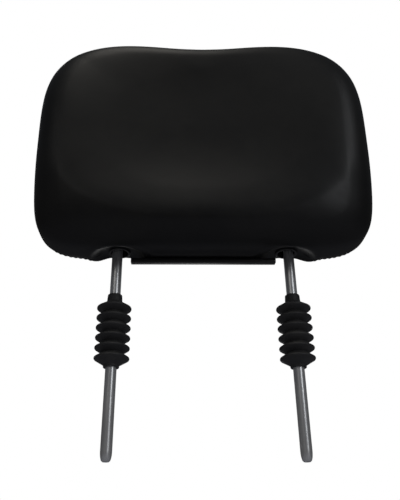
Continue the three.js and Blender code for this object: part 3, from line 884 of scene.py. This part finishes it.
def swell(cushion, pins):
    held_ones = set(pins)
    verts = cushion.data.vertices
    full = [vert.co + vert.normal * SWELL * (vert.index not in held_ones) for vert in verts]
    blown = filled(cushion, pins)
    longest = 0.0
    for vert, form, balloon in zip(verts, full, blown):
        slack = balloon - form
        if vert.index in held_ones:
            slack = Vector()
        if slack.length > SLACK_CAP:
            slack = slack.normalized() * SLACK_CAP
        longest = max(longest, slack.length * SLACK_SHARE)
        vert.co = form + slack * SLACK_SHARE
    cushion.data.update()
    return longest


cushion = object_from(block, "cushion_form")
for _ in ("front", "back"):
    cushion.data.materials.append(VINYL)
print("longest slack", round(swell(cushion, pinned_verts) / MM, 2), "mm")

# %% [markdown]
# ## One finer level
# A subdivision surface turns the five-millimetre squares into smooth vinyl. Its edges in the seam are
# creased, so the valley stays crisp. The result is read back as a plain mesh, because holes and seams
# are cut in it.

# %% Subdivide


def creased_seam(bm):
    layer = bm.edges.layers.float.get("crease_edge") or bm.edges.layers.float.new("crease_edge")
    for edge in bm.edges:
        kinds = {face.material_index for face in edge.link_faces}
        if len(kinds) == 2:
            edge[layer] = 1.0


def finer(piece):
    bm = bmesh.new()
    bm.from_mesh(piece.data)
    creased_seam(bm)
    bm.to_mesh(piece.data)
    bm.free()
    modifier = piece.modifiers.new("finer", "SUBSURF")
    modifier.levels = modifier.render_levels = 1
    smooth = piece.evaluated_get(bpy.context.evaluated_depsgraph_get())
    bm = bmesh.new()
    bm.from_mesh(smooth.data)
    bpy.data.objects.remove(piece)
    return bm


skin = finer(cushion)
print("skin:", len(skin.faces), "faces")

# %% [markdown]
# ## Dimples and holes
# Round each ring the underside is drawn up into a dimple. The mesh is split once more there, then each
# vertex under the cone is lifted onto it. The hole itself is cut by deleting what lies inside its edge
# and pulling the torn edge onto a circle, which the ring's flange then covers.

# %% Dimples
DIMPLE_DEPTH = 8 * MM
DIMPLE_SEAT = 12 * MM
DIMPLE_RIM = 29 * MM
SPLIT_MARGIN = 2 * MM
PRESS_MARGIN = 4 * MM
HOLE_RADIUS = 9.4 * MM
RING_ZONE_HEIGHT = 20 * MM


def near_ring(point, reach):
    return point.z < CUSHION_FOOT + RING_ZONE_HEIGHT and from_ring_axis(point) < reach


def split_near_rings(bm, reach):
    edges = [e for e in bm.edges if all(near_ring(v.co, reach) for v in e.verts)]
    bmesh.ops.subdivide_edges(bm, edges=edges, cuts=1, use_grid_fill=True)


def press_dimples(bm):
    for vert in bm.verts:
        if near_ring(vert.co, DIMPLE_RIM + PRESS_MARGIN):
            part = clamp((DIMPLE_RIM - from_ring_axis(vert.co)) / (DIMPLE_RIM - DIMPLE_SEAT))
            vert.co.z = max(vert.co.z, CUSHION_FOOT + DIMPLE_DEPTH * eased(part))


def cut_holes(bm):
    inside = [v for v in bm.verts if near_ring(v.co, HOLE_RADIUS)]
    bmesh.ops.delete(bm, geom=inside, context="VERTS")
    for edge in open_edges(bm):
        for vert in edge.verts:
            middle = Vector((math.copysign(RING_X, vert.co.x), 0, vert.co.z))
            vert.co = middle + (vert.co - middle).normalized() * HOLE_RADIUS


split_near_rings(skin, DIMPLE_RIM + SPLIT_MARGIN)
press_dimples(skin)
cut_holes(skin)
print("skin with holes:", len(skin.faces), "faces")

# %% [markdown]
# ## Two skins
# Now the skin is parted along the seam. Each half turns in at the seam by two millimetres, as sewn edges
# do, and a Solidify modifier gives it the thickness of foam-backed vinyl. The front half carries the
# polish mask.

# %% Part the skin
SKIN_THICKNESS = 1.6 * MM
TURN_IN = 2.0 * MM
SEAM_OPENING = 0.12 * MM
HOLE_MARGIN = 1 * MM
POLISH_WEIGHT = 0.06
POLISH_SPREAD = 0.12


def keep_half(whole, index):
    half = whole.copy()
    others = [face for face in half.faces if face.material_index != index]
    bmesh.ops.delete(half, geom=others, context="FACES")
    for face in half.faces:
        face.material_index = 0
    return half


def turn_in_seam(half, direction):
    """Folds the sewn edge inward; direction is -1 for the front half and 1 for the back."""
    half.normal_update()
    hole_reach = HOLE_RADIUS + HOLE_MARGIN
    sewn = [e for e in open_edges(half) if not all(near_ring(v.co, hole_reach) for v in e.verts)]
    grown = bmesh.ops.extrude_edge_only(half, edges=sewn)["geom"]
    for vert in (item for item in grown if isinstance(item, bmesh.types.BMVert)):
        centre = Vector((0, seam_at(rise_at(vert.co)), CUSHION_FOOT + WAIST_HEIGHT))
        inward = centre - vert.co
        inward.y = 0
        vert.co += inward.normalized() * TURN_IN
        vert.co.y += direction * SEAM_OPENING


def mark_polish(piece):
    layer = piece.data.attributes.new("polish", "FLOAT", "POINT")
    values = []
    for vert in piece.data.vertices:
        weight = dish_weight(vert.co.x, vert.co.z - CUSHION_FOOT)
        facing = clamp(-vert.normal.y * 1.5 - 0.3)
        values.append(facing * math.exp(-(((weight - POLISH_WEIGHT) / POLISH_SPREAD) ** 2)))
    layer.data.foreach_set("value", values)


halves = {
    "skin_front": (keep_half(skin, 0), -1, ["cover_front"]),
    "skin_back": (keep_half(skin, 1), 1, ["cover_back"]),
}
skin.free()
skins = {}
for name, (half, direction, stands_for) in halves.items():
    turn_in_seam(half, direction)
    piece = add_piece(name, half, VINYL, "headrest", stands_for, clean=False)
    mark_polish(piece)
    solid = piece.modifiers.new("thickness", "SOLIDIFY")
    solid.thickness = SKIN_THICKNESS
    solid.offset = -1
    skins[name] = piece

# %% [markdown]
# ## Stitches
# Behind the seam one row of stitches holds the folded edge down on the back panel. Each stitch is a
# short rounded bar of a few dozen faces. We walk round the outline by even steps, drop each step onto
# the skin with a tree of its triangles, and lay a stitch along the way, sunk by a third.

# %% Stitches
STITCH_LENGTH = 3.4 * MM
STITCH_PITCH = 4.6 * MM
STITCH_RADIUS = 0.42 * MM
STITCH_LIFT = 0.3
STITCH_BEHIND = 4.5 * MM
OUTLINE_STEPS = 1440


def stitch_shape(bm, matrix):
    made = bmesh.ops.create_icosphere(bm, subdivisions=1, radius=1, matrix=Matrix())["verts"]
    for vert in made:
        x, y, z = vert.co
        vert.co = Vector((x * STITCH_LENGTH / 2, y * STITCH_RADIUS, z * STITCH_RADIUS))
    bmesh.ops.transform(bm, matrix=matrix, verts=made)


def stitch_way(tree):
    """Points on the skin with their normals, a set distance behind the seam, all round the cushion."""
    way = []
    for step in range(OUTLINE_STEPS):
        angle = 2 * math.pi * step / OUTLINE_STEPS
        rise = rise_at(cushion_point(1, 0, angle, 0))
        side = seam_side(rise) + STITCH_BEHIND / half_depth_at(rise)
        place, normal, _, _ = tree.find_nearest(cushion_point(1, side, angle, 0))
        way.append((place, normal))
    return way


def lay_stitches(skin_piece):
    tree = BVHTree.FromObject(skin_piece, bpy.context.evaluated_depsgraph_get())
    way = stitch_way(tree)
    bm = bmesh.new()
    travelled = 0.0
    for (place, normal), (following, _) in zip(way, way[1:] + way[:1]):
        travelled += (following - place).length
        if travelled < STITCH_PITCH or near_ring(place, DIMPLE_RIM):
            continue
        if abs(place.x) < RING_X and place.z < CUSHION_FOOT + UNDERSIDE_REACH:
            continue
        travelled = 0.0
        along = (following - place).normalized()
        across = normal.cross(along).normalized()
        turn = Matrix((along, across, normal)).transposed().to_4x4()
        stitch_shape(bm, Matrix.Translation(place + normal * STITCH_RADIUS * STITCH_LIFT) @ turn)
    return bm


stitch_row = lay_stitches(skins["skin_back"])
add_piece("seam_stitches", stitch_row, THREAD, "headrest", clean=False)

# %% [markdown]
# ## The foam
# Nobody sees the foam except as darkness past a post. Still it is there when the part is taken to
# pieces: a copy of its CAD solid, remeshed into even little squares and smoothed so that it looks
# moulded.

# %% Foam
FOAM_VOXEL = 3.0 * MM
FOAM_PASSES = 2
FOAM_SMOOTHING = {"factor": 0.3, "use_axis_x": True, "use_axis_y": True, "use_axis_z": True}


def foam_pad():
    bm = bmesh.new()
    bm.from_mesh(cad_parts["foam_core"].data)
    bmesh.ops.remove_doubles(bm, verts=bm.verts, dist=MERGE_DISTANCE)
    rough = object_from(bm, "foam_form")
    remesh = rough.modifiers.new("even", "REMESH")
    remesh.mode = "VOXEL"
    remesh.voxel_size = FOAM_VOXEL
    even = rough.evaluated_get(bpy.context.evaluated_depsgraph_get())
    bm = bmesh.new()
    bm.from_mesh(even.data)
    bpy.data.objects.remove(rough)
    for _ in range(FOAM_PASSES):
        bmesh.ops.smooth_vert(bm, verts=bm.verts, **FOAM_SMOOTHING)
    return bm


foam = add_piece("foam_pad", foam_pad(), FOAM, "headrest", ["foam_core"], clean=False)

# %% [markdown]
# ## What stays from the CAD model
# The plate, straps, rivets and washers are right as they are. Each gets its steel.

# %% Kept nodes
KEPT = {
    "support_plate": PLATE_STEEL,
    "post_strap": PLATE_STEEL,
    "ring_washer": PLATE_STEEL,
    "rivet": POST_STEEL,
}
painted = 0
for node_name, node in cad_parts.items():
    for start, finish in KEPT.items():
        if node_name.startswith(start):
            node.data.materials.clear()
            node.data.materials.append(finish)
            painted += 1
print("kept nodes painted:", painted)
